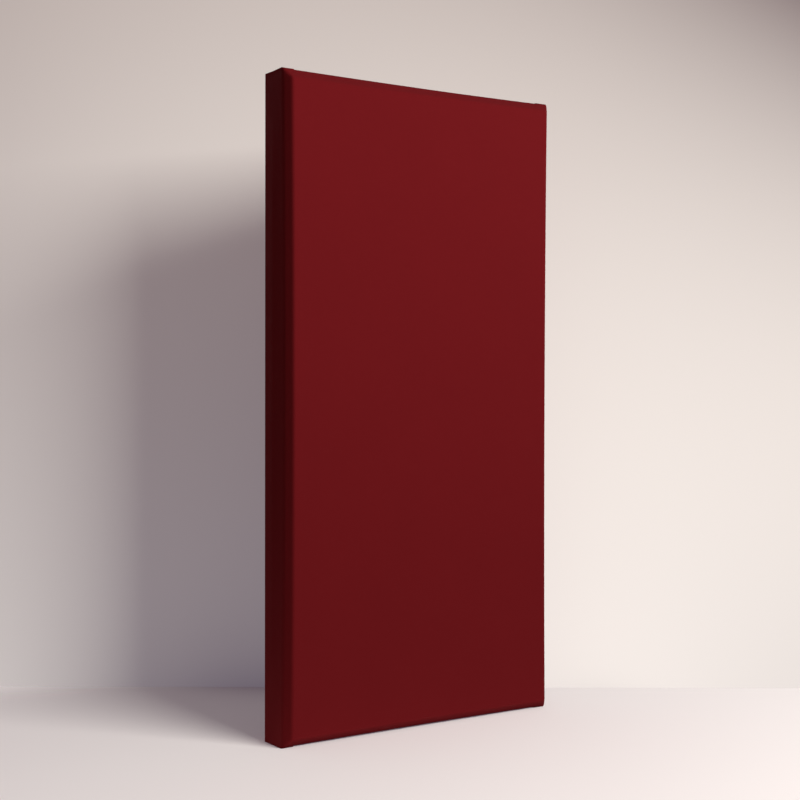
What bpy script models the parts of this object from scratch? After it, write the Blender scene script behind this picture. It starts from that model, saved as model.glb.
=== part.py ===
"""Fabric-wrapped acoustic wall panel: a soft absorber slab on a timber frame, in a stretched cloth cover.

The panel stands on one short end. +Z is up, the front faces -Y, and the origin is the middle of the base.
From the front backwards come the cover cloth, the absorber slab, the frame of four battens, the cover's
hem, which is turned over onto the battens, and the backing cloth that closes the back.
"""
import math

import bmesh
import bpy
from mathutils import Vector

# Overall size
PANEL_WIDTH = 0.600
PANEL_HEIGHT = 1.200

# Layers, from the front backwards
COVER_THICKNESS = 0.0007
CORE_DEPTH = 0.050
BATTEN_DEPTH = 0.027
BACKING_THICKNESS = 0.0004

# Frame of battens, the backing cloth and the hem that they carry
BATTEN_WIDTH = 0.034
BATTEN_ARRIS = 0.0015
HEM_WIDTH = 0.026
BACKING_MARGIN = 0.012

# The bevelled front edge, and how far the stretched cloth draws it in between the corners
FRONT_BEVEL_DEPTH = 0.016
SIDE_BEVEL_WIDTH = 0.012
END_BEVEL_WIDTH = 0.016
CREASE_OFFSET = 0.0035
SIDE_PULL_IN = 0.0035
END_PULL_IN = 0.0016

# The folded corners: spare cloth laid over both ends of the top and of the base
LAP_RISE = 0.0014
LAP_FRONT_WIDTH = 0.024
LAP_BACK_WIDTH = 0.062

# Space left between touching pieces
CLEARANCE = 0.0003

# How finely the soft shapes are divided
CREASE_SEGMENTS = 3
WIDTH_DIVISIONS = 6
HEIGHT_DIVISIONS = 12
DRAWN_DEPTH_DIVISIONS = 4
ARRIS_SEGMENTS = 2

# Tolerances for picking out a plane's vertices and the faces that lie square to an axis
SAME_PLACE = 1e-5
SQUARE_TO_AXIS = math.cos(math.radians(2))

# Layer planes, measured along the depth from the front face at zero
CORE_FRONT = COVER_THICKNESS + CLEARANCE
CORE_BACK = CORE_FRONT + CORE_DEPTH
FRAME_FRONT = CORE_BACK + CLEARANCE
FRAME_BACK = FRAME_FRONT + BATTEN_DEPTH
HEM_BACK = FRAME_BACK + CLEARANCE + COVER_THICKNESS
BACKING_FRONT = HEM_BACK + CLEARANCE
PANEL_DEPTH = BACKING_FRONT + BACKING_THICKNESS

# The wrapped body between its corner laps, and what is left inside the cover
HALF_WIDTH = PANEL_WIDTH / 2
FRONT_Y = -PANEL_DEPTH / 2
BODY_BASE = LAP_RISE
BODY_TOP = PANEL_HEIGHT - LAP_RISE
MIDDLE_HEIGHT = (BODY_BASE + BODY_TOP) / 2
INSIDE_COVER = COVER_THICKNESS + CLEARANCE


def depth_to_y(depth):
    """Place along Y of a plane that lies this far behind the front face."""
    return FRONT_Y + depth


def fabric_material(name, colour, roughness):
    """A matt, non-metallic finish."""
    material = bpy.data.materials.new(name)
    material.use_nodes = True
    shader = material.node_tree.nodes["Principled BSDF"]
    shader.inputs["Base Color"].default_value = (*colour, 1.0)
    shader.inputs["Roughness"].default_value = roughness
    shader.inputs["Metallic"].default_value = 0.0
    return material


def finish_object(mesh_builder, name, material):
    """Turn a bmesh into a named object with its material."""
    bmesh.ops.recalc_face_normals(mesh_builder, faces=mesh_builder.faces[:])
    mesh = bpy.data.meshes.new(name)
    mesh_builder.to_mesh(mesh)
    mesh_builder.free()
    mesh.materials.append(material)
    built = bpy.data.objects.new(name, mesh)
    bpy.context.scene.collection.objects.link(built)
    return built


def add_block(mesh_builder, low, high):
    """Add a box between two opposite corners and return its vertices."""
    vertices = bmesh.ops.create_cube(mesh_builder, size=1.0)["verts"]
    low, high = Vector(low), Vector(high)
    size = high - low
    middle = (low + high) / 2
    bmesh.ops.scale(mesh_builder, verts=vertices, vec=size)
    bmesh.ops.translate(mesh_builder, verts=vertices, vec=middle)
    return vertices


def cut_across(mesh_builder, point, normal, faces=None):
    """Cut edges into the mesh, or into some of its faces, along a plane."""
    faces = mesh_builder.faces[:] if faces is None else faces
    edges = list({edge for face in faces for edge in face.edges})
    vertices = list({vertex for face in faces for vertex in face.verts})
    bmesh.ops.bisect_plane(
        mesh_builder,
        geom=vertices + edges + faces,
        dist=SAME_PLACE,
        plane_co=point,
        plane_no=normal,
    )


def spaced(start, end, divisions):
    """The places that divide a length evenly, without its two ends."""
    return [start + (end - start) * step / divisions for step in range(1, divisions)]


def bevel_inside(width, inset):
    """Depth where a front bevel starts, and its width, on a block this far inside the cover's outer face."""
    slant = math.hypot(width, FRONT_BEVEL_DEPTH)
    start_depth = FRONT_BEVEL_DEPTH + inset * (slant - FRONT_BEVEL_DEPTH) / width
    inner_width = width + inset * (slant - width) / FRONT_BEVEL_DEPTH - inset
    return start_depth, inner_width


def soft_block(inset, back_depth):
    """A block with four bevelled front edges and softened creases, this far inside the cover's outer face."""
    side_start, side_width = bevel_inside(SIDE_BEVEL_WIDTH, inset)
    end_start, end_width = bevel_inside(END_BEVEL_WIDTH, inset)
    start_depth = max(side_start, end_start)
    block = bmesh.new()
    low = (-HALF_WIDTH + inset, depth_to_y(start_depth), BODY_BASE + inset)
    high = (HALF_WIDTH - inset, depth_to_y(back_depth), BODY_TOP - inset)
    add_block(block, low, high)
    block.normal_update()
    front_face = [face for face in block.faces if face.normal.y < -SQUARE_TO_AXIS]
    bmesh.ops.inset_region(
        block, faces=front_face, thickness=side_width, depth=start_depth - inset, use_even_offset=True
    )
    bevel_start = depth_to_y(start_depth)
    for vertex in block.verts:
        if vertex.co.y < bevel_start - SAME_PLACE:
            vertex.co.z -= math.copysign(end_width - side_width, vertex.co.z - MIDDLE_HEIGHT)
    creases = [
        edge for edge in block.edges if all(vertex.co.y < bevel_start + SAME_PLACE for vertex in edge.verts)
    ]
    bmesh.ops.bevel(
        block,
        geom=creases,
        offset=CREASE_OFFSET,
        offset_type="OFFSET",
        affect="EDGES",
        segments=CREASE_SEGMENTS,
        profile=0.5,
        material=-1,
    )
    for x in spaced(-HALF_WIDTH, HALF_WIDTH, WIDTH_DIVISIONS):
        cut_across(block, (x, 0, 0), (1, 0, 0))
    for z in spaced(BODY_BASE, BODY_TOP, HEIGHT_DIVISIONS):
        cut_across(block, (0, 0, z), (0, 0, 1))
    for depth in [*spaced(start_depth + CREASE_OFFSET, FRAME_FRONT, DRAWN_DEPTH_DIVISIONS), FRAME_FRONT]:
        cut_across(block, (0, depth_to_y(depth), 0), (0, 1, 0))
    return block


def arch(place, start, end):
    """Zero at both ends of a length and one in its middle."""
    along = min(max((place - start) / (end - start), 0), 1)
    return 4 * along * (1 - along)


def draw_in(mesh_builder):
    """Draw the soft front edges in between the corners, and leave what lies on the frame straight."""
    for vertex in mesh_builder.verts:
        depth = vertex.co.y - FRONT_Y
        if depth >= FRAME_FRONT:
            continue
        ahead_of_frame = 1 - depth / FRAME_FRONT
        strength = 1 - (1 - ahead_of_frame) ** 2
        x, z = vertex.co.x, vertex.co.z
        outward = x / HALF_WIDTH
        upward = (z - MIDDLE_HEIGHT) / (BODY_TOP - MIDDLE_HEIGHT)
        vertex.co.x = x - SIDE_PULL_IN * strength * arch(z, BODY_BASE, BODY_TOP) * outward ** 3
        vertex.co.z = z - END_PULL_IN * strength * arch(x, -HALF_WIDTH, HALF_WIDTH) * upward ** 3


def end_faces(mesh_builder, end, level):
    """The flat faces of the top, where end is 1, or of the base, where it is -1."""
    return [
        face
        for face in mesh_builder.faces
        if face.normal.z * end > SQUARE_TO_AXIS and abs(face.calc_center_median().z - level) < SAME_PLACE
    ]


def lap_corners(mesh_builder):
    """Raise the spare cloth that is folded over both ends of the top and of the base."""
    front_y = depth_to_y(FRONT_BEVEL_DEPTH + CREASE_OFFSET)
    back_y = depth_to_y(HEM_BACK)
    for end, level in ((1, BODY_TOP), (-1, BODY_BASE)):
        for side in (1, -1):
            fold_start = Vector((side * (HALF_WIDTH - LAP_FRONT_WIDTH), front_y, level))
            fold_end = Vector((side * (HALF_WIDTH - LAP_BACK_WIDTH), back_y, level))
            outward = (fold_end - fold_start).cross(Vector((0, 0, side)))
            cut_across(mesh_builder, fold_start, outward, end_faces(mesh_builder, end, level))
            lap = [
                face
                for face in end_faces(mesh_builder, end, level)
                if (face.calc_center_median() - fold_start).dot(outward) * outward.x * side > 0
            ]
            lap_edges = list({edge for face in lap for edge in face.edges})
            raised = bmesh.ops.extrude_face_region(mesh_builder, geom=lap + lap_edges)["geom"]
            raised_vertices = [item for item in raised if isinstance(item, bmesh.types.BMVert)]
            bmesh.ops.translate(mesh_builder, verts=raised_vertices, vec=(0, 0, end * LAP_RISE))


def make_fabric_cover(material):
    """One cloth over the front and the four sides, folded at the corners and turned over onto the back."""
    cover = soft_block(0.0, HEM_BACK)
    back_y = depth_to_y(HEM_BACK)
    back_faces = [face for face in cover.faces if face.normal.y > SQUARE_TO_AXIS]
    bmesh.ops.inset_region(cover, faces=back_faces, thickness=HEM_WIDTH, use_even_offset=True)
    opening = [
        face
        for face in cover.faces
        if face.normal.y > SQUARE_TO_AXIS
        and abs(face.calc_center_median().x) < HALF_WIDTH - HEM_WIDTH
        and BODY_BASE + HEM_WIDTH < face.calc_center_median().z < BODY_TOP - HEM_WIDTH
        and abs(face.calc_center_median().y - back_y) < SAME_PLACE
    ]
    bmesh.ops.delete(cover, geom=opening, context="FACES")
    bmesh.ops.recalc_face_normals(cover, faces=cover.faces[:])
    bmesh.ops.solidify(cover, geom=cover.faces[:], thickness=COVER_THICKNESS)
    cover.normal_update()
    lap_corners(cover)
    draw_in(cover)
    return finish_object(cover, "fabric_cover", material)


def make_absorber_core(material):
    """The soft slab behind the front cloth, bevelled and drawn in with it."""
    core = soft_block(INSIDE_COVER, CORE_BACK)
    draw_in(core)
    return finish_object(core, "absorber_core", material)


def make_batten(name, x_range, z_range, material):
    """One bar of the frame, with its sharp arrises taken off."""
    batten = bmesh.new()
    low = (x_range[0], depth_to_y(FRAME_FRONT), z_range[0])
    high = (x_range[1], depth_to_y(FRAME_BACK), z_range[1])
    add_block(batten, low, high)
    bmesh.ops.bevel(
        batten,
        geom=batten.edges[:],
        offset=BATTEN_ARRIS,
        offset_type="OFFSET",
        affect="EDGES",
        segments=ARRIS_SEGMENTS,
        profile=0.5,
        material=-1,
    )
    return finish_object(batten, name, material)


def make_frame(material):
    """Two stiles the full height, and two rails between them."""
    outer_x = HALF_WIDTH - INSIDE_COVER
    inner_x = outer_x - BATTEN_WIDTH
    low_z = BODY_BASE + INSIDE_COVER
    high_z = BODY_TOP - INSIDE_COVER
    rail_end = inner_x - CLEARANCE
    make_batten("frame_stile_left", (-outer_x, -inner_x), (low_z, high_z), material)
    make_batten("frame_stile_right", (inner_x, outer_x), (low_z, high_z), material)
    make_batten("frame_rail_bottom", (-rail_end, rail_end), (low_z, low_z + BATTEN_WIDTH), material)
    make_batten("frame_rail_top", (-rail_end, rail_end), (high_z - BATTEN_WIDTH, high_z), material)


def make_backing_cloth(material):
    """The thin sheet that closes the back and hides the hem's edge."""
    backing = bmesh.new()
    side_x = HALF_WIDTH - BACKING_MARGIN
    low = (-side_x, depth_to_y(BACKING_FRONT), BODY_BASE + BACKING_MARGIN)
    high = (side_x, depth_to_y(PANEL_DEPTH), BODY_TOP - BACKING_MARGIN)
    add_block(backing, low, high)
    return finish_object(backing, "backing_cloth", material)


def main():
    """Build the whole panel."""
    for old in list(bpy.data.objects):
        bpy.data.objects.remove(old, do_unlink=True)
    cover_cloth = fabric_material("red_cover_cloth", (0.20, 0.010, 0.012), 0.9)
    wool = fabric_material("mineral_wool", (0.45, 0.36, 0.17), 1.0)
    timber = fabric_material("pine_batten", (0.56, 0.38, 0.20), 0.65)
    backing = fabric_material("backing_cloth", (0.03, 0.03, 0.032), 0.9)
    make_fabric_cover(cover_cloth)
    make_absorber_core(wool)
    make_frame(timber)
    make_backing_cloth(backing)


main()
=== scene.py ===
# %% [markdown]
# # A cloth-covered acoustic panel
#
# The panel is a soft slab of mineral wool on a timber frame. One red cloth is stretched over the front and
# the sides, folded at the corners and stapled on the back, and a thin dark sheet closes the back.
# Its construction is already made and packed, so this lesson only dresses it: the cloth with its folds, the
# sheet on the back, the staples, and the finish of every surface.

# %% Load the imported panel
import math
import random

import bmesh
import bpy
from mathutils import Matrix, Vector, noise


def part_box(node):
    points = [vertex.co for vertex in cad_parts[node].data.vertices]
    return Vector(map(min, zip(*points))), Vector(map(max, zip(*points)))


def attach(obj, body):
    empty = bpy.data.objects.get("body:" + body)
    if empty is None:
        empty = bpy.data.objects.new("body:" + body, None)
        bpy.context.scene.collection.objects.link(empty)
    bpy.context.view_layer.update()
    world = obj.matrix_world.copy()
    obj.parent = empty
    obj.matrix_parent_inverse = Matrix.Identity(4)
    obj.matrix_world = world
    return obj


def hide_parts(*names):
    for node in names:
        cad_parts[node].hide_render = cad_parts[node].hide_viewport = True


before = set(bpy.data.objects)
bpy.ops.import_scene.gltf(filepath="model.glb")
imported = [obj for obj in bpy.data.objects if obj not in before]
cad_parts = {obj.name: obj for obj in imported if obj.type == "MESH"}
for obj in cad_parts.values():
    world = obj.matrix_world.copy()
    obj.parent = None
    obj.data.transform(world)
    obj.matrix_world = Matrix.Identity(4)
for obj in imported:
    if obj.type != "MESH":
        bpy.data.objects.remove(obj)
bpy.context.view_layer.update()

scene = bpy.context.scene
scene.view_settings.view_transform = "Standard"

# %% [markdown]
# ## The camera
#
# A photograph can be matched by moving a camera by hand until the edges line up, or by measuring the edges
# and solving for the camera. It was solved here, because a box with known sides gives eight corners and the
# picture gives eight pixels. The lens is written in pixels first, as it comes out of that sum, and is then
# turned into millimetres on a 36 mm sensor.

# %% Camera
PICTURE_WIDTH = 800
SENSOR_WIDTH = 36.0
FOCAL_PIXELS = 1444.2
CAMERA_PLACE = Vector((-1.550, -2.246, 0.658))
CAMERA_YAW = math.radians(-34.03)
CAMERA_PITCH = math.radians(-0.92)
CAMERA_ROLL = math.radians(0.13)


def add_camera():
    """A camera at the photograph's place, looking along yaw and pitch, and turned a little by the roll."""
    ahead = Vector((
        -math.sin(CAMERA_YAW) * math.cos(CAMERA_PITCH),
        math.cos(CAMERA_YAW) * math.cos(CAMERA_PITCH),
        math.sin(CAMERA_PITCH),
    ))
    level_right = ahead.cross(Vector((0, 0, 1))).normalized()
    level_up = level_right.cross(ahead)
    right = level_right * math.cos(CAMERA_ROLL) + level_up * math.sin(CAMERA_ROLL)
    up = right.cross(ahead)
    lens = bpy.data.cameras.new("camera")
    lens.sensor_width = SENSOR_WIDTH
    lens.lens = FOCAL_PIXELS / PICTURE_WIDTH * SENSOR_WIDTH
    camera = bpy.data.objects.new("camera", lens)
    scene.collection.objects.link(camera)
    turn = Matrix((right, up, -ahead)).transposed()
    camera.matrix_world = Matrix.Translation(CAMERA_PLACE) @ turn.to_4x4()
    scene.camera = camera
    print("lens", round(lens.lens, 2), "mm, looking along", [round(part, 3) for part in ahead])
    return ahead


view_ahead = add_camera()

# %% [markdown]
# ## Helpers for materials
#
# Every finish here is built from nodes. A node tree is a chain of small sums, so short helpers keep the
# lesson readable: they add a node, make a sum of numbers, mix colours, or start a material with its shader.
# Values that are the same all over a surface are typed straight into the shader's sockets. Blender's Mix
# node has one set of sockets for each kind of value, and the colour ones are found by their numbers.

# %% Material helpers
MIX_COLOUR_INPUTS = (6, 7)
MIX_COLOUR_OUTPUT = 2


def add_node(tree, kind, **settings):
    """Add a node and set its properties by name."""
    node = tree.nodes.new(kind)
    for name, value in settings.items():
        setattr(node, name, value)
    return node


def set_input(tree, node, socket, value):
    """Link an output into a socket, or type a plain value into it."""
    if isinstance(value, bpy.types.NodeSocket):
        tree.links.new(value, node.inputs[socket])
    else:
        node.inputs[socket].default_value = value


def calculate(tree, operation, first, second=0.0):
    """One arithmetic step, and its result."""
    node = add_node(tree, "ShaderNodeMath", operation=operation)
    set_input(tree, node, 0, first)
    set_input(tree, node, 1, second)
    return node.outputs[0]


def changed_by(tree, start, slope, value):
    """A number that starts somewhere and changes evenly with a value."""
    return calculate(tree, "ADD", start, calculate(tree, "MULTIPLY", value, slope))


def weighed(tree, first, second, first_share):
    """A mean of two values, of which the first has the given share."""
    first_part = calculate(tree, "MULTIPLY", first, first_share)
    return changed_by(tree, first_part, 1 - first_share, second)


def new_material(name, roughness):
    """A material with a Principled shader, its node tree, and the shader."""
    material = bpy.data.materials.new(name)
    material.use_nodes = True
    tree = material.node_tree
    shader = tree.nodes["Principled BSDF"]
    shader.inputs["Roughness"].default_value = roughness
    return material, tree, shader


def blend_colours(tree, amount, first, second):
    """Mix two colours by an amount from 0 to 1."""
    node = add_node(tree, "ShaderNodeMix", data_type="RGBA")
    set_input(tree, node, 0, amount)
    for socket, colour in zip(MIX_COLOUR_INPUTS, (first, second)):
        set_input(tree, node, socket, (*colour, 1.0))
    return node.outputs[MIX_COLOUR_OUTPUT]


def noise_value(tree, place, scale, detail):
    """Smooth noise, from about 0 to 1, that repeats nowhere."""
    node = add_node(tree, "ShaderNodeTexNoise")
    set_input(tree, node, "Vector", place)
    node.inputs["Scale"].default_value = scale
    node.inputs["Detail"].default_value = detail
    return node.outputs["Fac"]


def stretched_place(tree, source, stretch):
    """Coordinates stretched along their axes, so that noise turns into streaks."""
    node = add_node(tree, "ShaderNodeMapping")
    set_input(tree, node, "Vector", source)
    node.inputs["Scale"].default_value = stretch
    return node.outputs[0]


def raise_by(tree, shader, height, distance):
    """Give the shader relief of a real depth in metres."""
    bump = add_node(tree, "ShaderNodeBump")
    set_input(tree, bump, "Height", height)
    bump.inputs["Distance"].default_value = distance
    tree.links.new(bump.outputs[0], shader.inputs["Normal"])


# %% [markdown]
# ## Helpers for shapes
#
# New pieces start from a cube that Blender makes, which is then scaled, cut and bevelled. Cutting a mesh
# with a plane adds a line of vertices where it is wanted, so a flat face can later be pulled into shape. A
# face counts as facing one way when its normal leans that way by more than half.

# %% Shape helpers
TOLERANCE = 1e-6
FACING = 0.5
SHARP_ANGLE = math.radians(40)


def add_block(builder, low, high):
    """Add a box between two opposite corners."""
    corners = bmesh.ops.create_cube(builder, size=1.0)["verts"]
    bmesh.ops.scale(builder, verts=corners, vec=high - low)
    bmesh.ops.translate(builder, verts=corners, vec=(low + high) / 2)
    return corners


def cut_through(builder, axis, places):
    """Cut edges into the whole mesh at several places along one axis."""
    normal = Vector((0, 0, 0))
    normal[axis] = 1.0
    for place in places:
        geometry = builder.verts[:] + builder.edges[:] + builder.faces[:]
        bmesh.ops.bisect_plane(
            builder, geom=geometry, dist=TOLERANCE, plane_co=normal * place, plane_no=normal
        )


def spaced(start, end, step):
    """Places between two ends, about one step apart, without the ends."""
    count = max(1, round(abs(end - start) / step))
    return [start + (end - start) * index / count for index in range(1, count)]


def round_edges(builder, edges, radius, segments):
    """Round some edges off."""
    bmesh.ops.bevel(
        builder,
        geom=edges,
        offset=radius,
        offset_type="OFFSET",
        affect="EDGES",
        segments=segments,
        profile=0.5,
        material=-1,
    )


def finish_piece(builder, name, material, sharp_angle=SHARP_ANGLE):
    """Turn a bmesh into an object that sits at the origin, smooth except at its sharp edges."""
    mesh = bpy.data.meshes.new(name)
    builder.to_mesh(mesh)
    builder.free()
    mesh.materials.append(material)
    mesh.shade_smooth()
    mesh.set_sharp_from_angle(angle=sharp_angle)
    piece = bpy.data.objects.new(name, mesh)
    scene.collection.objects.link(piece)
    return piece


def thicken(piece, thickness):
    """Give a sheet its thickness, inwards from the side that shows."""
    wall = piece.modifiers.new("thickness", "SOLIDIFY")
    wall.thickness = thickness
    wall.offset = -1.0
    wall.use_even_offset = True


# %% [markdown]
# ## The red cloth
#
# The real cloth is one rectangle, laid face down, with the panel on it. Its borders are pulled up the sides
# and over onto the back, and at each corner the spare cloth is folded away over the end of the panel.
# It could be simulated, but a cloth that is stretched this tight has hardly any free shape: it follows the
# slab, and only its edges and folds show. So it is made from a block, cut into small faces, and each thing
# that the tension does is one short rule that moves the vertices. The values that end in FACING say how far a
# normal has to lean that way before its face counts as part of an end, of the back, or of the flat back.

# %% Sizes of the cloth
cover_low, cover_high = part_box("fabric_cover")
core_low, core_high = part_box("absorber_core")
stile_low, stile_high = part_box("frame_stile_left")

CLOTH_THICKNESS = 0.0007
BEVEL_DEPTH = 0.016
SIDE_BEVEL_WIDTH = 0.012
END_BEVEL_WIDTH = 0.016
CREASE_OFFSET = 0.0035
TURNOVER_RADIUS = 0.0016
HEM_WIDTH = 0.026
LAP_RISE = 0.0014
TOP_LAP_RISE = 0.0012
TOP_LAP_BACK_RISE = 0.0005
LAP_FRONT_WIDTH = 0.024
LAP_BACK_WIDTH = 0.062
LAP_EDGE_WIDTH = 0.0009
LAP_START_SHARE = 0.8
LAP_FACING = 0.3
BACK_FACING = 0.7
FLAT_BACK_FACING = 0.99
TOP_LEFT_GAIN = 0.0020
TOP_LEFT_GAIN_END = 0.06
SIDE_PULL_IN = 0.0035
END_PULL_IN = 0.0016
CREASE_SEGMENTS = 4
TURNOVER_SEGMENTS = 3
FINE_STEP = 0.004
COARSE_STEP = 0.020
FINE_LENGTH = 0.072

half_width = cover_high.x
front_y = cover_low.y
back_y = cover_high.y
body_base = cover_low.z + LAP_RISE
body_top = cover_high.z - LAP_RISE
drawn_depth = stile_low.y - front_y
wrapped = (2 * half_width, back_y - front_y, body_top - body_base)
print("cloth wraps", [round(side, 4) for side in wrapped])


# %% The block that the cloth is cut from


def is_edge_at(edge, axis, place):
    """True if both ends of an edge lie at one place along an axis."""
    return all(abs(vertex.co[axis] - place) < TOLERANCE for vertex in edge.verts)


def wrapped_block():
    """The outer shape of the stretched cloth, in small faces that the next steps can move."""
    block = bmesh.new()
    bevel_start = front_y + BEVEL_DEPTH
    add_block(block, Vector((-half_width, bevel_start, body_base)), Vector((half_width, back_y, body_top)))
    block.normal_update()
    front = [face for face in block.faces if face.normal.y < -FACING]
    bmesh.ops.inset_region(
        block, faces=front, thickness=SIDE_BEVEL_WIDTH, depth=BEVEL_DEPTH, use_even_offset=True
    )
    front_points = [vertex for vertex in block.verts if vertex.co.y < bevel_start - TOLERANCE]
    for vertex in front_points:
        further = END_BEVEL_WIDTH - SIDE_BEVEL_WIDTH
        vertex.co.z += further if vertex.co.z < (body_base + body_top) / 2 else -further
    behind = bevel_start + TOLERANCE
    creases = [edge for edge in block.edges if all(vertex.co.y < behind for vertex in edge.verts)]
    round_edges(block, creases, CREASE_OFFSET, CREASE_SEGMENTS)
    back_edges = [edge for edge in block.edges if is_edge_at(edge, 1, back_y)]
    round_edges(block, back_edges, TURNOVER_RADIUS, TURNOVER_SEGMENTS)
    fine_x = half_width - FINE_LENGTH
    for side in (-1, 1):
        cut_through(block, 0, [side * fine_x, *spaced(side * fine_x, side * half_width, FINE_STEP)])
    cut_through(block, 0, spaced(-fine_x, fine_x, COARSE_STEP))
    fine_base, fine_top = body_base + FINE_LENGTH, body_top - FINE_LENGTH
    cut_through(block, 2, [fine_base, fine_top, *spaced(body_base, fine_base, FINE_STEP)])
    cut_through(block, 2, spaced(fine_top, body_top, FINE_STEP))
    cut_through(block, 2, spaced(fine_base, fine_top, COARSE_STEP))
    cut_through(block, 1, spaced(bevel_start, back_y - TURNOVER_RADIUS, FINE_STEP))
    return block


cloth = wrapped_block()
print("faces of the block", len(cloth.faces))

# %% [markdown]
# A fold ends in a crisp step, which the small faces are too coarse for. So the slanting edge of each fold is
# cut into the end of the block twice, a cloth's thickness apart, and later only the outer side is lifted.

# %% The edges of the corner folds


def cut_fold_edges(builder):
    """Cut both lines of the step along the edge of each of the four folds."""
    start_y = front_y + BEVEL_DEPTH
    for outward, upward in ((-1, -1), (1, -1), (-1, 1), (1, 1)):
        edge_way = Vector((-outward * (LAP_BACK_WIDTH - LAP_FRONT_WIDTH), back_y - start_y, 0))
        across = edge_way.cross(Vector((0, 0, 1))).normalized()
        for step in (0, LAP_EDGE_WIDTH):
            start = Vector((outward * (half_width - LAP_FRONT_WIDTH + step), start_y, 0))
            builder.normal_update()
            end_faces = [face for face in builder.faces if face.normal.z * upward > LAP_FACING]
            faces = [face for face in end_faces if face.calc_center_median().x * outward > 0]
            edges = dict.fromkeys(edge for face in faces for edge in face.edges)
            points = dict.fromkeys(point for face in faces for point in face.verts)
            geometry = [*points, *edges, *faces]
            bmesh.ops.bisect_plane(
                builder, geom=geometry, dist=TOLERANCE, plane_co=start, plane_no=across
            )


cut_fold_edges(cloth)
print("faces with the fold edges", len(cloth.faces))

# %% [markdown]
# The weave has to follow the cloth round the edges, so each corner of each face is told where it lies on
# the flat cloth. On the front that is simply x and z. Past the front's crease it is the length down the slope
# of the bevel and then along the side, as if the cloth were folded flat again.

# %% Where each point lies on the flat cloth


def flat_place(point, over_side, on_back):
    """The place on the flat cloth of a point of the wrapped one."""
    depth = point.y - front_y
    x, z = point.x, point.z - (body_base + body_top) / 2
    if over_side:
        along, half, bevel_width = x, half_width, SIDE_BEVEL_WIDTH
    else:
        along, half, bevel_width = z, (body_top - body_base) / 2, END_BEVEL_WIDTH
    inner = half - bevel_width
    if abs(along) > inner:
        slant = math.hypot(bevel_width, BEVEL_DEPTH)
        beyond = slant * min(depth / BEVEL_DEPTH, 1.0) + max(depth - BEVEL_DEPTH, 0.0)
        if on_back:
            beyond += half - abs(along)
        along = math.copysign(inner + beyond, along)
    return (along, z) if over_side else (x, along)


def map_flat_cloth(builder):
    """Write the flat places into a UV map, in metres."""
    flat_map = builder.loops.layers.uv.new("cloth")
    for face in builder.faces:
        middle = face.calc_center_median()
        on_back = face.normal.y > BACK_FACING
        side_reach = abs(middle.x) - half_width
        end_reach = abs(middle.z - (body_base + body_top) / 2) - (body_top - body_base) / 2
        over_side = side_reach > end_reach
        for loop in face.loops:
            loop[flat_map].uv = flat_place(loop.vert.co, over_side, on_back)


cloth.normal_update()
map_flat_cloth(cloth)

# %% [markdown]
# ### What the tension does
#
# The wool is soft, so the tight cloth draws its front edges in between the corners, where the folded layers
# hold it out. The battens behind are stiff, so the back edges stay straight. Sides and ends are drawn in by a
# parabola along the edge that fades towards the battens, and by the cube of the place, so that only points
# close to the edge move. The spare cloth in the folds lies under the outer layer and lifts it. At the top it
# thins towards the back, and the top stands a little higher at its left end, as in the photograph.

# %% Shaping rules


def arch(place, start, end):
    """Zero at both ends of a length and one in its middle."""
    along = min(max((place - start) / (end - start), 0.0), 1.0)
    return 4 * along * (1 - along)


def ease(amount):
    """A soft step from 0 to 1."""
    amount = min(max(amount, 0.0), 1.0)
    return amount * amount * (3 - 2 * amount)


def fold_lift(x, y, upward):
    """How far the corner fold lifts a point of an end: evenly at the base, less to the back at the top."""
    share_to_back = (y - front_y - BEVEL_DEPTH) / (back_y - front_y - BEVEL_DEPTH)
    width = LAP_FRONT_WIDTH + (LAP_BACK_WIDTH - LAP_FRONT_WIDTH) * share_to_back
    covered = ease((width - half_width + abs(x)) / LAP_EDGE_WIDTH)
    from_front = ease((y - front_y - BEVEL_DEPTH * LAP_START_SHARE) / (BEVEL_DEPTH * (1 - LAP_START_SHARE)))
    rise = LAP_RISE
    if upward > 0:
        thinning = (1 - min(max(share_to_back, 0.0), 1.0)) ** 2
        rise = TOP_LAP_BACK_RISE + (TOP_LAP_RISE - TOP_LAP_BACK_RISE) * thinning
    return rise * covered * from_front


def top_gain(x):
    """How much higher the top stands towards its left end."""
    return TOP_LEFT_GAIN * max((TOP_LEFT_GAIN_END - x) / (TOP_LEFT_GAIN_END + half_width), 0.0)


def shape_cloth(builder):
    """Draw the edges in and lift the folded corners."""
    middle_height = (body_base + body_top) / 2
    half_height = body_top - middle_height
    for vertex in builder.verts:
        x, y, z = vertex.co
        upward = (z - middle_height) / half_height
        outward = x / half_width
        depth = y - front_y
        ahead = min(max(1 - depth / drawn_depth, 0.0), 1.0)
        strength = 1 - (1 - ahead) ** 2
        vertex.co.x = x - SIDE_PULL_IN * strength * arch(z, body_base, body_top) * outward ** 3
        vertex.co.z = z - END_PULL_IN * strength * arch(x, -half_width, half_width) * upward ** 3
        beyond_end = (abs(upward) - 1) * half_height / END_BEVEL_WIDTH + 1
        if beyond_end > 0:
            lift = fold_lift(x, y, upward)
            if upward > 0:
                lift += top_gain(x) * ahead
            vertex.co.z += math.copysign(lift * ease(beyond_end), upward)


shape_cloth(cloth)

# %% The hem on the back


def open_back(builder):
    """Leave only a hem of the cloth on the back."""
    inner_x = half_width - HEM_WIDTH
    low_z, high_z = body_base + HEM_WIDTH, body_top - HEM_WIDTH
    cut_through(builder, 0, [-inner_x, inner_x])
    cut_through(builder, 2, [low_z, high_z])
    inside = []
    for face in builder.faces:
        middle = face.calc_center_median()
        on_back = face.normal.y > FLAT_BACK_FACING
        if on_back and abs(middle.x) < inner_x and low_z < middle.z < high_z:
            inside.append(face)
    bmesh.ops.delete(builder, geom=inside, context="FACES")


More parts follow.
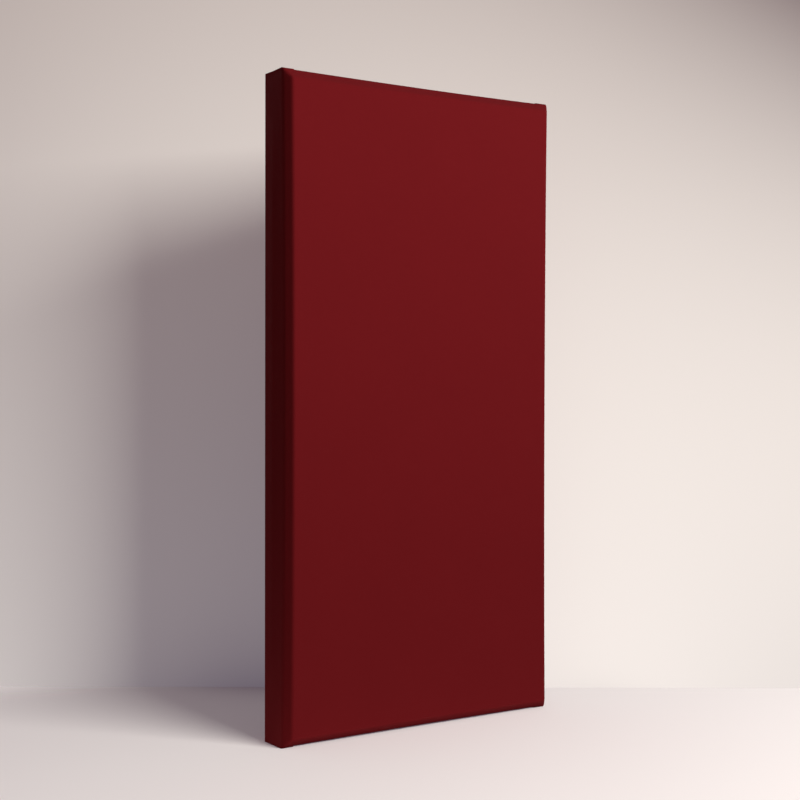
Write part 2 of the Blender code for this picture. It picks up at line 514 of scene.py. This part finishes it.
cloth.normal_update()
open_back(cloth)
print("faces of the cloth", len(cloth.faces))

# %% [markdown]
# ### The weave
#
# Panel cloth is a plain weave of matt polyester yarn. From across a room the threads melt into one colour,
# and close up they show as a fine grid. Two sine waves along the flat cloth give the threads their round
# backs, a checker of both says which thread is on top, and a little noise makes the yarn uneven.

# %% Cloth material
CLOTH_RED = (0.190, 0.0084, 0.0108)
CLOTH_DARK_YARN = (0.150, 0.0064, 0.0085)
THREAD_PITCH = 0.0009
THREAD_RELIEF = 0.00010
YARN_STRETCH = (900, 900, 1)
YARN_RELIEF_SHARE = 0.5
SHEEN_TINT = (0.80, 0.20, 0.22, 1.0)


def red_cloth_material():
    """A plain weave whose threads follow the flat cloth."""
    material, tree, shader = new_material("red_panel_cloth", roughness=0.92)
    flat = add_node(tree, "ShaderNodeUVMap", uv_map="cloth")
    parts = add_node(tree, "ShaderNodeSeparateXYZ")
    set_input(tree, parts, 0, flat.outputs[0])
    per_metre = math.pi / THREAD_PITCH
    warp = calculate(tree, "SINE", calculate(tree, "MULTIPLY", parts.outputs[0], per_metre))
    weft = calculate(tree, "SINE", calculate(tree, "MULTIPLY", parts.outputs[1], per_metre))
    over = calculate(tree, "GREATER_THAN", calculate(tree, "MULTIPLY", warp, weft), 0.0)
    warp_back = calculate(tree, "ABSOLUTE", warp)
    weft_back = calculate(tree, "ABSOLUTE", weft)
    warp_part = calculate(tree, "MULTIPLY", warp_back, over)
    weft_part = calculate(tree, "MULTIPLY", weft_back, calculate(tree, "SUBTRACT", 1.0, over))
    threads = calculate(tree, "ADD", warp_part, weft_part)
    yarn = noise_value(tree, stretched_place(tree, flat.outputs[0], YARN_STRETCH), scale=1.0, detail=3.0)
    cloud = noise_value(tree, flat.outputs[0], scale=6.0, detail=2.0)
    shade = weighed(tree, yarn, cloud, first_share=0.7)
    colour = blend_colours(tree, shade, CLOTH_DARK_YARN, CLOTH_RED)
    tree.links.new(colour, shader.inputs["Base Color"])
    raise_by(tree, shader, changed_by(tree, threads, YARN_RELIEF_SHARE, yarn), THREAD_RELIEF)
    shader.inputs["Specular IOR Level"].default_value = 0.06
    shader.inputs["Sheen Weight"].default_value = 0.04
    shader.inputs["Sheen Roughness"].default_value = 0.5
    shader.inputs["Sheen Tint"].default_value = SHEEN_TINT
    return material


# %% Finish the cloth
cover = finish_piece(cloth, "red_cloth_cover", red_cloth_material())
thicken(cover, CLOTH_THICKNESS)
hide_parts("fabric_cover")
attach(cover, "root")

# %% [markdown]
# ## The sheet over the back
#
# The back is closed with a thin dark felt, so that no fibres fall out. It lies over the red hem and is
# stapled to the battens through it. It starts as a grid that Blender makes. In the open middle nothing holds
# it, so it sags a little towards the wool, and between two staples its border lifts and draws in.

# %% Backing sheet
BACKING_THICKNESS = 0.0004
BACKING_STEP = 0.0075
MIDDLE_SAG = 0.0030
SAG_LENGTH = 0.120
STAPLE_SPACING = 0.075
STAPLE_INSET = 0.007
BORDER_LIFT = 0.0006
BORDER_DRAW = 0.0010
BORDER_LENGTH = 0.016
FELT_DARK = (0.012, 0.012, 0.013)
FELT_PALE = (0.060, 0.061, 0.064)
FELT_STRETCH = (700, 700, 260)
FELT_RELIEF = 0.0002

backing_low, backing_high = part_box("backing_cloth")
rail_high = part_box("frame_rail_bottom")[1]
backing_middle = (backing_low + backing_high) / 2
backing_half = (backing_high - backing_low) / 2
open_half_width = -stile_high.x
open_half_height = backing_middle.z - rail_high.z


def staple_places(half_length):
    """Even places along one border, centred on it."""
    reach = half_length - STAPLE_INSET
    count = max(2, round(2 * reach / STAPLE_SPACING))
    return [-reach + 2 * reach * index / count for index in range(count + 1)]


def between_staples(along, half_length):
    """Zero at a staple and one halfway to the next."""
    reach = half_length - STAPLE_INSET
    count = max(2, round(2 * reach / STAPLE_SPACING))
    return math.sin(math.pi * count * (along + reach) / (2 * reach)) ** 2


def make_backing():
    """The felt over the back, in the plane of x and z, with its outer side towards +y."""
    builder = bmesh.new()
    turn = Matrix.Rotation(math.pi / 2, 4, "X")
    columns = round(2 * backing_half.x / BACKING_STEP)
    rows = round(2 * backing_half.z / BACKING_STEP)
    bmesh.ops.create_grid(builder, x_segments=columns, y_segments=rows, size=1.0, matrix=turn)
    bmesh.ops.scale(builder, verts=builder.verts[:], vec=(backing_half.x, 1.0, backing_half.z))
    builder.normal_update()
    if sum(face.normal.y for face in builder.faces) < 0:
        bmesh.ops.reverse_faces(builder, faces=builder.faces[:])
    for vertex in builder.verts:
        x, z = vertex.co.x, vertex.co.z
        inside = min(open_half_width - abs(x), open_half_height - abs(z))
        sag = MIDDLE_SAG * ease(inside / SAG_LENGTH)
        side_near = ease(1 - (backing_half.x - abs(x)) / BORDER_LENGTH)
        end_near = ease(1 - (backing_half.z - abs(z)) / BORDER_LENGTH)
        side_free = side_near * between_staples(z, backing_half.z)
        end_free = end_near * between_staples(x, backing_half.x)
        vertex.co.y = backing_high.y - sag + BORDER_LIFT * max(side_free, end_free)
        vertex.co.x -= math.copysign(BORDER_DRAW * side_free, x)
        vertex.co.z -= math.copysign(BORDER_DRAW * end_free, z)
    bmesh.ops.translate(builder, verts=builder.verts[:], vec=(backing_middle.x, 0, backing_middle.z))
    return builder


def felt_material():
    """A dark felt of short fibres, a little cloudy."""
    material, tree, shader = new_material("dark_backing_felt", roughness=0.95)
    place = add_node(tree, "ShaderNodeTexCoord").outputs["Object"]
    fibres = noise_value(tree, stretched_place(tree, place, FELT_STRETCH), scale=1.0, detail=4.0)
    cloud = noise_value(tree, place, scale=14.0, detail=3.0)
    colour = blend_colours(tree, weighed(tree, fibres, cloud, first_share=0.6), FELT_DARK, FELT_PALE)
    tree.links.new(colour, shader.inputs["Base Color"])
    raise_by(tree, shader, fibres, FELT_RELIEF)
    shader.inputs["Specular IOR Level"].default_value = 0.2
    return material


backing = finish_piece(make_backing(), "backing_felt", felt_material())
thicken(backing, BACKING_THICKNESS)
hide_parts("backing_cloth")
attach(backing, "root")
print("backing faces", len(backing.data.polygons))

# %% [markdown]
# ## The staples
#
# One staple is a flat wire with two legs: a small block, whose two ends are pulled down into the timber. The
# same staple is placed along the border of the felt. No staple gun shoots quite straight, so each one is
# turned by a few degrees with a fixed seed, which keeps the lesson the same each time that it runs.

# %% Staples
CROWN_LENGTH = 0.0105
WIRE_WIDTH = 0.0012
WIRE_HEIGHT = 0.0006
LEG_LENGTH = 0.0040
STAPLE_ROUNDING = 0.00022
STAPLE_SEGMENTS = 2
STAPLE_SHARP_ANGLE = math.radians(30)
STAPLE_SEED = 12
STEEL_DARK = (0.42, 0.42, 0.43)
STEEL_PALE = (0.66, 0.66, 0.67)
TURN_RANGE = math.radians(9)
PLACE_RANGE = 0.0015


def add_staple(builder, x, z, turn):
    """One staple at a place on the back, its crown along a direction in the plane of the back."""
    wire = bmesh.new()
    half_crown, half_wire = CROWN_LENGTH / 2, WIRE_WIDTH / 2
    add_block(wire, Vector((-half_crown, 0, -half_wire)), Vector((half_crown, WIRE_HEIGHT, half_wire)))
    shoulder = half_crown - WIRE_HEIGHT
    cut_through(wire, 0, [-shoulder, shoulder])
    wire.normal_update()
    below = [face for face in wire.faces if face.normal.y < -FACING]
    under = [face for face in below if abs(face.calc_center_median().x) > shoulder]
    legs = bmesh.ops.extrude_discrete_faces(wire, faces=under)["faces"]
    leg_points = dict.fromkeys(vertex for face in legs for vertex in face.verts)
    bmesh.ops.translate(wire, verts=list(leg_points), vec=(0, -LEG_LENGTH, 0))
    wire.normal_update()
    crown_edges = [edge for edge in wire.edges if is_edge_at(edge, 1, WIRE_HEIGHT)]
    outline = [edge for edge in crown_edges if edge.calc_face_angle(0) > STAPLE_SHARP_ANGLE]
    round_edges(wire, outline, STAPLE_ROUNDING, STAPLE_SEGMENTS)
    place = Matrix.Translation((x, backing_high.y, z)) @ Matrix.Rotation(turn, 4, "Y")
    bmesh.ops.transform(wire, matrix=place, verts=wire.verts[:])
    part = bpy.data.meshes.new("staple")
    wire.to_mesh(part)
    wire.free()
    builder.from_mesh(part)
    bpy.data.meshes.remove(part)


def make_staples():
    """All the staples round the felt, as one piece."""
    chance = random.Random(STAPLE_SEED)
    builder = bmesh.new()
    inset_x = backing_half.x - STAPLE_INSET
    inset_z = backing_half.z - STAPLE_INSET
    places = []
    for z in staple_places(backing_half.z)[1:-1]:
        places += [(-inset_x, z, math.pi / 2), (inset_x, z, math.pi / 2)]
    for x in staple_places(backing_half.x):
        places += [(x, -inset_z, 0.0), (x, inset_z, 0.0)]
    for x, z, turn in places:
        x += chance.uniform(-PLACE_RANGE, PLACE_RANGE)
        z += chance.uniform(-PLACE_RANGE, PLACE_RANGE)
        turn += chance.uniform(-TURN_RANGE, TURN_RANGE)
        add_staple(builder, x, backing_middle.z + z, turn)
    print("staples", len(places))
    return builder


def steel_material():
    """Galvanised steel wire, a little uneven."""
    material, tree, shader = new_material("staple_steel", roughness=0.36)
    place = add_node(tree, "ShaderNodeTexCoord").outputs["Object"]
    stain = noise_value(tree, place, scale=900.0, detail=2.0)
    colour = blend_colours(tree, stain, STEEL_DARK, STEEL_PALE)
    tree.links.new(colour, shader.inputs["Base Color"])
    shader.inputs["Metallic"].default_value = 1.0
    return material


staples = finish_piece(make_staples(), "staples", steel_material())
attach(staples, "root")
print("staple triangles", sum(len(face.vertices) - 2 for face in staples.data.polygons))

# %% [markdown]
# ## What lies under the cloth
#
# Mineral wool is felted from fibres that lie flat in the slab. A cut slab is never quite flat: its layers
# stand back by different amounts at the sides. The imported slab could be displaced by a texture, but plain
# noise on its points is enough here: it is stretched far along the slab and little through it. The points
# only move inwards, so the slab never comes out past its own shape and into the cloth.

# %% Wool
WOOL_STEP = 0.020
WOOL_LAYER = 0.0036
WOOL_UNEVENNESS = 0.0011
WOOL_LUMPS = Vector((9.0, 240.0, 9.0))
WOOL_WELD = 1e-5
WOOL_SHARP_ANGLE = math.radians(60)
WOOL_DARK = (0.20, 0.17, 0.10)
WOOL_PALE = (0.46, 0.40, 0.26)
WOOL_STRETCH = (160, 900, 160)
WOOL_RELIEF = 0.0012


def make_wool():
    """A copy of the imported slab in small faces, pressed in unevenly along its layers."""
    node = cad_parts["absorber_core"]
    slab = bmesh.new()
    slab.from_mesh(node.data)
    bmesh.ops.transform(slab, matrix=node.matrix_world, verts=slab.verts[:])
    bmesh.ops.remove_doubles(slab, verts=slab.verts[:], dist=WOOL_WELD)
    cut_through(slab, 0, spaced(core_low.x, core_high.x, WOOL_STEP))
    cut_through(slab, 2, spaced(core_low.z, core_high.z, WOOL_STEP))
    cut_through(slab, 1, spaced(core_low.y, core_high.y, WOOL_LAYER))
    slab.normal_update()
    for vertex in slab.verts:
        lumps = noise.noise(vertex.co * WOOL_LUMPS)
        vertex.co -= vertex.normal * WOOL_UNEVENNESS * min(max(0.5 + lumps, 0.0), 1.0)
    return slab


def wool_material():
    """Compressed mineral wool, in layers that lie parallel to the front."""
    material, tree, shader = new_material("mineral_wool", roughness=1.0)
    place = add_node(tree, "ShaderNodeTexCoord").outputs["Object"]
    fibres = noise_value(tree, stretched_place(tree, place, WOOL_STRETCH), scale=1.0, detail=5.0)
    tufts = noise_value(tree, place, scale=35.0, detail=3.0)
    amount = weighed(tree, fibres, tufts, first_share=0.65)
    colour = blend_colours(tree, amount, WOOL_DARK, WOOL_PALE)
    tree.links.new(colour, shader.inputs["Base Color"])
    raise_by(tree, shader, amount, WOOL_RELIEF)
    shader.inputs["Specular IOR Level"].default_value = 0.15
    return material


wool = finish_piece(make_wool(), "wool_slab", wool_material(), WOOL_SHARP_ANGLE)
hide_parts("absorber_core")
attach(wool, "root")
print("wool triangles", sum(len(face.vertices) - 2 for face in wool.data.polygons))

# %% [markdown]
# The battens stay as they were packed and only get their finish, which is planed pine: the year rings are a
# wave across the bar, drawn out along its length.

# %% Timber
PINE_PALE = (0.60, 0.40, 0.20)
PINE_DARK = (0.40, 0.22, 0.09)
PINE_RELIEF = 0.0002
RING_SCALE = 40.0
RING_DISTORTION = 3.5
RING_DETAIL = 2.0
UPRIGHT_STRETCH = (1.0, 1.0, 0.06)
LEVEL_STRETCH = (0.06, 1.0, 1.0)


def pine_material(name, along_stretch):
    """Planed pine, with its grain along the axis that is stretched least."""
    material, tree, shader = new_material(name, roughness=0.62)
    place = add_node(tree, "ShaderNodeTexCoord").outputs["Object"]
    grain = stretched_place(tree, place, along_stretch)
    rings = add_node(tree, "ShaderNodeTexWave", wave_type="RINGS", rings_direction="Y")
    set_input(tree, rings, "Vector", grain)
    rings.inputs["Scale"].default_value = RING_SCALE
    rings.inputs["Distortion"].default_value = RING_DISTORTION
    rings.inputs["Detail"].default_value = RING_DETAIL
    pores = noise_value(tree, grain, scale=300.0, detail=3.0)
    amount = weighed(tree, rings.outputs["Fac"], pores, first_share=0.6)
    colour = blend_colours(tree, amount, PINE_PALE, PINE_DARK)
    tree.links.new(colour, shader.inputs["Base Color"])
    raise_by(tree, shader, pores, PINE_RELIEF)
    return material


def finish_node(node, material):
    """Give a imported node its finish."""
    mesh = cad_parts[node].data
    mesh.materials.clear()
    mesh.materials.append(material)


upright_pine = pine_material("pine_upright", UPRIGHT_STRETCH)
level_pine = pine_material("pine_level", LEVEL_STRETCH)
for node in ("frame_stile_left", "frame_stile_right"):
    finish_node(node, upright_pine)
for node in ("frame_rail_top", "frame_rail_bottom"):
    finish_node(node, level_pine)

# %% [markdown]
# ## Places round the panel
#
# A lamp is easiest to place as one walks round the object: an angle round it, an angle upwards and a
# distance. The big lamp over floor and wall is placed first, because the floor's painted shade below it
# depends on where it hangs.

# %% Places round the panel
AIM = Vector((0, 0, 0.6))


def place_from(azimuth, elevation, distance):
    """A place round the panel, with the azimuth counted from straight in front towards the right."""
    azimuth, elevation = math.radians(azimuth), math.radians(elevation)
    level = math.cos(elevation)
    away = Vector((math.sin(azimuth) * level, -math.cos(azimuth) * level, math.sin(elevation)))
    return AIM + away * distance


paper_lamp_place = place_from(azimuth=16.5, elevation=24.0, distance=6.0)
print("paper lamp at", [round(part, 2) for part in paper_lamp_place])

# %% [markdown]
# ## The floor and the backdrop
#
# The panel stands on a pale floor in front of a pale wall. A pale floor throws a lot of light back, which
# would wash out the panel's dark side. So it is pale for the eye, and for bounced light it is a glow of its
# own, which is strongest round the panel and half as strong in its shadow. Light Path tells the two apart.
#
# The wall isn't lit evenly, so its uneven light and shade are painted into its colour as a short sum.
# The painted light fades to the right and upwards. The loss upwards is a power of the height: a low one at
# the left, where it sets in early, and a high one at the right, where it sets in late. Beside the panel,
# painted shade darkens wall and floor close to the line where they meet, and along that line painted light
# makes the floor paler to the left. The floor is also painted paler to the right.
# The values were fitted to tones read here and there in the photograph, and then rounded.

# %% Stage sizes and colours
FLOOR_SIZE = 24.0
WALL_DEPTH = 3.05
WALL_HEIGHT = 6.0
FLOOR_COLOUR = (0.834, 0.788, 0.736)
# The glow of floor and wall is painted fill light, an emission that brightens the paper's shadows.
FLOOR_GLOW = (0.067, 0.041, 0.065)
# Painted light and shade on the floor: paler to the right, and by the wall a painted shade beside the panel
# and a paler part to the left.
FLOOR_GAIN_RIGHT = 0.10
FLOOR_LINE_LENGTH = 0.10
FLOOR_LINE_GAIN_LEFT = 0.83
FLOOR_LINE_SHADE = 0.84
FLOOR_LINE_SHADE_WIDTH = 0.35
PAPER_ROUGHNESS = 0.95
PAPER_SHINE = 0.1
# Painted shade on the floor below the paper lamp, where its light would turn the floor plain white.
HOT_REACH = 4.6
HOT_POWER = 1.66
HOT_LEAST = 0.3
BOUNCE_COLOUR = (1.0, 0.96, 0.96)
BOUNCE_STRENGTH = 0.62
BOUNCE_LENGTH = 0.60
BOUNCE_IN_SHADOW = 0.5
CONTACT_LENGTH = 0.003
WALL_COLOUR = (0.821, 0.776, 0.694)
# The wall's glow is painted fill light in its shadows, and it rises with the height.
WALL_GLOW = (0.115, 0.092, 0.126)
WALL_GLOW_RISE = (0.060, 0.038, 0.017)
# Painted light on the wall, fading to the right and upwards, and painted shade at its foot beside the panel.
WALL_FADE_RIGHT = 0.24
WALL_FADE_UP = 0.28
WALL_FADE_MIDDLE = 0.22
WALL_FADE_SIDES = 0.17
WALL_FADE_POWER = 1.67
WALL_FADE_POWER_RIGHT = 1.05
WALL_LEAST = 0.05
WALL_LINE_LENGTH = 0.12
WALL_LINE_SHADE = 0.77
WALL_LINE_SHADE_WIDTH = 0.26
PANEL_SIDE = 0.28
LINE_SHADE_START = 0.12
PICTURE_REACH = 0.85
PICTURE_RISE = 1.50

level_ahead = Vector((view_ahead.x, view_ahead.y, 0)).normalized()
level_right = Vector((level_ahead.y, -level_ahead.x, 0))
camera_foot = Vector((CAMERA_PLACE.x, CAMERA_PLACE.y, 0))

# %% Paper


def distance_along(tree, origin, direction):
    """How far a point lies from an origin along a direction."""
    place = add_node(tree, "ShaderNodeTexCoord").outputs["Object"]
    away = add_node(tree, "ShaderNodeVectorMath", operation="SUBTRACT")
    set_input(tree, away, 0, place)
    away.inputs[1].default_value = origin
    along = add_node(tree, "ShaderNodeVectorMath", operation="DOT_PRODUCT")
    set_input(tree, along, 0, away.outputs["Vector"])
    along.inputs[1].default_value = direction
    return along.outputs["Value"]


def place_right(tree):
    """How far a point lies to the right of the view's middle, but never further than the picture shows."""
    right = distance_along(tree, camera_foot, level_right)
    return calculate(tree, "MAXIMUM", calculate(tree, "MINIMUM", right, PICTURE_REACH), -PICTURE_REACH)


def place_up(tree):
    """The height over the floor, but never more than the picture shows."""
    return calculate(tree, "MINIMUM", distance_along(tree, camera_foot, (0, 0, 1)), PICTURE_RISE)


def seen_by_eye(tree):
    """One for what the camera sees, also in a reflection or through glass, and zero for bounced light."""
    rays = add_node(tree, "ShaderNodeLightPath")
    mirrored = calculate(tree, "MAXIMUM", rays.outputs["Is Glossy Ray"], rays.outputs["Is Transmission Ray"])
    return calculate(tree, "MAXIMUM", rays.outputs["Is Camera Ray"], mirrored)


def paper_material(name, colour, glow, glow_rise, brightness):
    """Matt pale paper: a colour times painted light and shade, and a faint painted fill light in its shadows.
    """
    material, tree, shader = new_material(name, PAPER_ROUGHNESS)
    scaled = add_node(tree, "ShaderNodeVectorMath", operation="SCALE")
    scaled.inputs[0].default_value = colour
    set_input(tree, scaled, "Scale", brightness(tree))
    tree.links.new(scaled.outputs["Vector"], shader.inputs["Base Color"])
    shader.inputs["Specular IOR Level"].default_value = PAPER_SHINE
    # The emission is painted fill light that brightens the paper's shadows.
    painted_fill_glow = add_node(tree, "ShaderNodeVectorMath", operation="MULTIPLY_ADD")
    set_input(tree, painted_fill_glow, 0, place_up(tree))
    painted_fill_glow.inputs[1].default_value = glow_rise
    painted_fill_glow.inputs[2].default_value = glow
    tree.links.new(painted_fill_glow.outputs["Vector"], shader.inputs["Emission Color"])
    shader.inputs["Emission Strength"].default_value = 1.0
    return material, tree, shader


def show_only(tree, shader, seen, otherwise):
    """Use the shader where seen is one, and another where it is zero."""
    mix = add_node(tree, "ShaderNodeMixShader")
    set_input(tree, mix, 0, seen)
    tree.links.new(otherwise.outputs[0], mix.inputs[1])
    tree.links.new(shader.outputs[0], mix.inputs[2])
    tree.links.new(mix.outputs[0], tree.nodes["Material Output"].inputs["Surface"])


def faded_over(tree, distance, length):
    """One at no distance, and a third of that after each further length."""
    return calculate(tree, "EXPONENT", calculate(tree, "MULTIPLY", distance, -1 / length))


def bounced_light(tree):
    """The light that the floor throws back. It fades away from the panel and is gone right at its foot."""
    place = add_node(tree, "ShaderNodeTexCoord").outputs["Object"]
    mirrored = add_node(tree, "ShaderNodeVectorMath", operation="ABSOLUTE")
    set_input(tree, mirrored, 0, place)
    away = add_node(tree, "ShaderNodeVectorMath", operation="SUBTRACT")
    set_input(tree, away, 0, mirrored.outputs["Vector"])
    away.inputs[1].default_value = (half_width, back_y, 0.0)
    outside = add_node(tree, "ShaderNodeVectorMath", operation="MAXIMUM")
    set_input(tree, outside, 0, away.outputs["Vector"])
    outside.inputs[1].default_value = (0.0, 0.0, 0.0)
    length = add_node(tree, "ShaderNodeVectorMath", operation="LENGTH")
    set_input(tree, length, 0, outside.outputs["Vector"])
    distance = length.outputs["Value"]
    fading = faded_over(tree, distance, BOUNCE_LENGTH)
    open_floor = changed_by(tree, 1.0, -1.0, faded_over(tree, distance, CONTACT_LENGTH))
    parts = add_node(tree, "ShaderNodeSeparateXYZ")
    set_input(tree, parts, 0, place)
    lit_share = add_node(tree, "ShaderNodeMapRange")
    set_input(tree, lit_share, "Value", parts.outputs["Y"])
    lit_share.inputs["From Min"].default_value = front_y
    lit_share.inputs["From Max"].default_value = back_y
    lit_share.inputs["To Min"].default_value = 1.0
    lit_share.inputs["To Max"].default_value = BOUNCE_IN_SHADOW
    fading = calculate(tree, "MULTIPLY", fading, open_floor)
    bounced = calculate(tree, "MULTIPLY", fading, lit_share.outputs[0])
    light = add_node(tree, "ShaderNodeEmission")
    light.inputs["Color"].default_value = (*BOUNCE_COLOUR, 1.0)
    set_input(tree, light, "Strength", calculate(tree, "MULTIPLY", bounced, BOUNCE_STRENGTH))
    return light


def near_line(tree, distance, length):
    """One at the line between floor and wall, fading away from it and beyond the picture's left edge."""
    right = distance_along(tree, camera_foot, level_right)
    beyond = calculate(tree, "MAXIMUM", calculate(tree, "SUBTRACT", -PICTURE_REACH, right), 0.0)
    return faded_over(tree, calculate(tree, "ADD", distance, beyond), length)


def left_part(tree, right):
    """How far a point lies to the left of the view's middle, and zero on its right."""
    return calculate(tree, "MAXIMUM", calculate(tree, "MULTIPLY", right, -1.0), 0.0)


def shade_bell_beside_panel(tree, left, width):
    """A bell for painted shade, one beside the panel's left side and zero to the right of the view's middle.
    """
    away = calculate(tree, "DIVIDE", calculate(tree, "SUBTRACT", left, PANEL_SIDE), width)
    squared = calculate(tree, "MULTIPLY", away, away)
    bell = calculate(tree, "EXPONENT", calculate(tree, "MULTIPLY", squared, -1.0))
    started = calculate(tree, "MINIMUM", calculate(tree, "DIVIDE", left, LINE_SHADE_START), 1.0)
    return calculate(tree, "MULTIPLY", bell, started)


def painted_shade_below_lamp(tree):
    """Painted shade below the lamp, outside the picture, where the floor would turn plain white."""
    place = add_node(tree, "ShaderNodeTexCoord").outputs["Object"]
    distance = add_node(tree, "ShaderNodeVectorMath", operation="DISTANCE")
    set_input(tree, distance, 0, place)
    distance.inputs[1].default_value = (paper_lamp_place.x, paper_lamp_place.y, 0.0)
    share = calculate(tree, "MINIMUM", calculate(tree, "DIVIDE", distance.outputs["Value"], HOT_REACH), 1.0)
    return calculate(tree, "MAXIMUM", calculate(tree, "POWER", share, HOT_POWER), HOT_LEAST)


def painted_floor_light(tree):
    """Painted light: the floor grows paler to the right, and has painted shade and light by the wall."""
    ahead = distance_along(tree, camera_foot, level_ahead)
    to_wall = calculate(tree, "ABSOLUTE", calculate(tree, "SUBTRACT", WALL_DEPTH, ahead))
    near = near_line(tree, to_wall, FLOOR_LINE_LENGTH)
    right = place_right(tree)
    left = left_part(tree, right)
    # Painted shade by the wall beside the panel, and painted light that makes the floor paler to the left
    # there.
    shade = shade_bell_beside_panel(tree, left, FLOOR_LINE_SHADE_WIDTH)
    line_change = calculate(tree, "MULTIPLY", left, FLOOR_LINE_GAIN_LEFT)
    line_change = changed_by(tree, line_change, -FLOOR_LINE_SHADE, shade)
    # Painted light that makes the floor paler to the right.
    open_floor = changed_by(tree, 1.0, FLOOR_GAIN_RIGHT, right)
    brightness = changed_by(tree, open_floor, near, line_change)
    return calculate(tree, "MULTIPLY", brightness, painted_shade_below_lamp(tree))


def painted_wall_light(tree):
    """Painted light that fades to the right and upwards, and painted shade at the wall's foot by the panel.
    """
    up = place_up(tree)
    right = place_right(tree)
    sideways = calculate(tree, "SUBTRACT", right, WALL_FADE_MIDDLE)
    sideways_squared = calculate(tree, "MULTIPLY", sideways, sideways)
    fade_up = changed_by(tree, WALL_FADE_UP, WALL_FADE_SIDES, sideways_squared)
    power = changed_by(tree, WALL_FADE_POWER, WALL_FADE_POWER_RIGHT, right)
    lost_upwards = calculate(tree, "MULTIPLY", fade_up, calculate(tree, "POWER", up, power))
    left_upwards = changed_by(tree, 1.0, -1.0, lost_upwards)
    open_wall = calculate(tree, "MULTIPLY", changed_by(tree, 1.0, -WALL_FADE_RIGHT, right), left_upwards)
    # Painted shade at the wall's foot, beside the panel.
    near = near_line(tree, up, WALL_LINE_LENGTH)
    beside = shade_bell_beside_panel(tree, left_part(tree, right), WALL_LINE_SHADE_WIDTH)
    shade = calculate(tree, "MULTIPLY", near, beside)
    return calculate(tree, "MAXIMUM", changed_by(tree, open_wall, -WALL_LINE_SHADE, shade), WALL_LEAST)


# %% Floor and wall


def add_floor():
    """A large level floor."""
    no_rise = (0.0, 0.0, 0.0)
    material, tree, shader = paper_material(
        "floor_paper", FLOOR_COLOUR, FLOOR_GLOW, no_rise, painted_floor_light
    )
    show_only(tree, shader, seen_by_eye(tree), bounced_light(tree))
    builder = bmesh.new()
    bmesh.ops.create_grid(builder, x_segments=1, y_segments=1, size=FLOOR_SIZE / 2)
    floor = finish_piece(builder, "floor", material)
    return floor


def add_backdrop():
    """A wall across the view. Light from behind passes it, and so does a view from there."""
    material, tree, shader = paper_material(
        "wall_paper", WALL_COLOUR, WALL_GLOW, WALL_GLOW_RISE, painted_wall_light
    )
    side = add_node(tree, "ShaderNodeNewGeometry")
    front = calculate(tree, "SUBTRACT", 1.0, side.outputs["Backfacing"])
    seen = calculate(tree, "MULTIPLY", seen_by_eye(tree), front)
    show_only(tree, shader, seen, add_node(tree, "ShaderNodeBsdfTransparent"))
    middle = camera_foot + level_ahead * WALL_DEPTH + Vector((0, 0, WALL_HEIGHT / 2))
    turn = Matrix((level_right, (0, 0, 1), -level_ahead)).transposed().to_4x4()
    size = Matrix.Diagonal((FLOOR_SIZE / WALL_HEIGHT, 1.0, 1.0, 1.0))
    builder = bmesh.new()
    place = Matrix.Translation(middle) @ turn @ size
    bmesh.ops.create_grid(builder, x_segments=1, y_segments=1, size=WALL_HEIGHT / 2, matrix=place)
    wall = finish_piece(builder, "backdrop", material)
    return wall


floor = add_floor()
backdrop = add_backdrop()

# %% [markdown]
# ## The light
#
# A studio lights an object and its background apart, so that each gets its own level. Light linking does
# the same here: a lamp with a collection of receivers lights only what is in it, though everything still
# throws its shadow. The key is a distant, soft spot, a little to the right and hardly higher than the
# panel, so the bevel at the top is no brighter than the front. It is aimed over the panel, so its light
# fades downwards. A wide soft box lights the floor and the wall and throws the panel's soft shadow there. A
# weak lamp at the back only helps when the panel is seen from there.

# %% Lamps


def hang_lamp(lamp, place, aim, power, receivers):
    """Hang a lamp at a place, aim it, and let it light only some objects."""
    lamp.energy = power
    light = bpy.data.objects.new(lamp.name, lamp)
    scene.collection.objects.link(light)
    light.location = place
    light.rotation_euler = (aim - place).to_track_quat("-Z", "Y").to_euler()
    light.visible_camera = False
    lit = bpy.data.collections.new(lamp.name + " receivers")
    for receiver in receivers:
        lit.objects.link(receiver)
    light.light_linking.receiver_collection = lit
    print(lamp.name, [round(part, 2) for part in place], power, "W")


def add_soft_box(name, place, width, height, power, receivers):
    """A soft rectangular lamp that faces the panel."""
    lamp = bpy.data.lights.new(name, "AREA")
    lamp.shape = "RECTANGLE"
    lamp.size = width
    lamp.size_y = height
    hang_lamp(lamp, place, AIM, power, receivers)


def add_soft_spot(name, place, aim, radius, cone, power, receivers):
    """A spot whose light fades all the way from the middle of its cone to the edge."""
    lamp = bpy.data.lights.new(name, "SPOT")
    lamp.shadow_soft_size = radius
    lamp.spot_size = math.radians(cone)
    lamp.spot_blend = 1.0
    hang_lamp(lamp, place, aim, power, receivers)


def add_world(colour, strength):
    """Even light from all round."""
    world = bpy.data.worlds.new("world")
    world.use_nodes = True
    background = world.node_tree.nodes["Background"]
    background.inputs["Color"].default_value = (*colour, 1.0)
    background.inputs["Strength"].default_value = strength
    scene.world = world


panel_pieces = [cover, backing, staples, wool, *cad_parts.values()]
add_world(colour=(1.0, 0.96, 0.96), strength=0.24)
add_soft_spot(
    "key",
    place=place_from(azimuth=30.0, elevation=5.0, distance=9.0),
    aim=Vector((0.0, 0.0, 3.3)),
    radius=0.5,
    cone=54.0,
    power=3800.0,
    receivers=panel_pieces,
)
add_soft_box(
    "paper lamp", place=paper_lamp_place, width=4.06, height=2.31, power=540.0, receivers=[floor, backdrop]
)
back_lamp_place = place_from(azimuth=180.0, elevation=30.0, distance=3.0)
add_soft_box("back lamp", place=back_lamp_place, width=1.0, height=1.0, power=45.0, receivers=panel_pieces)
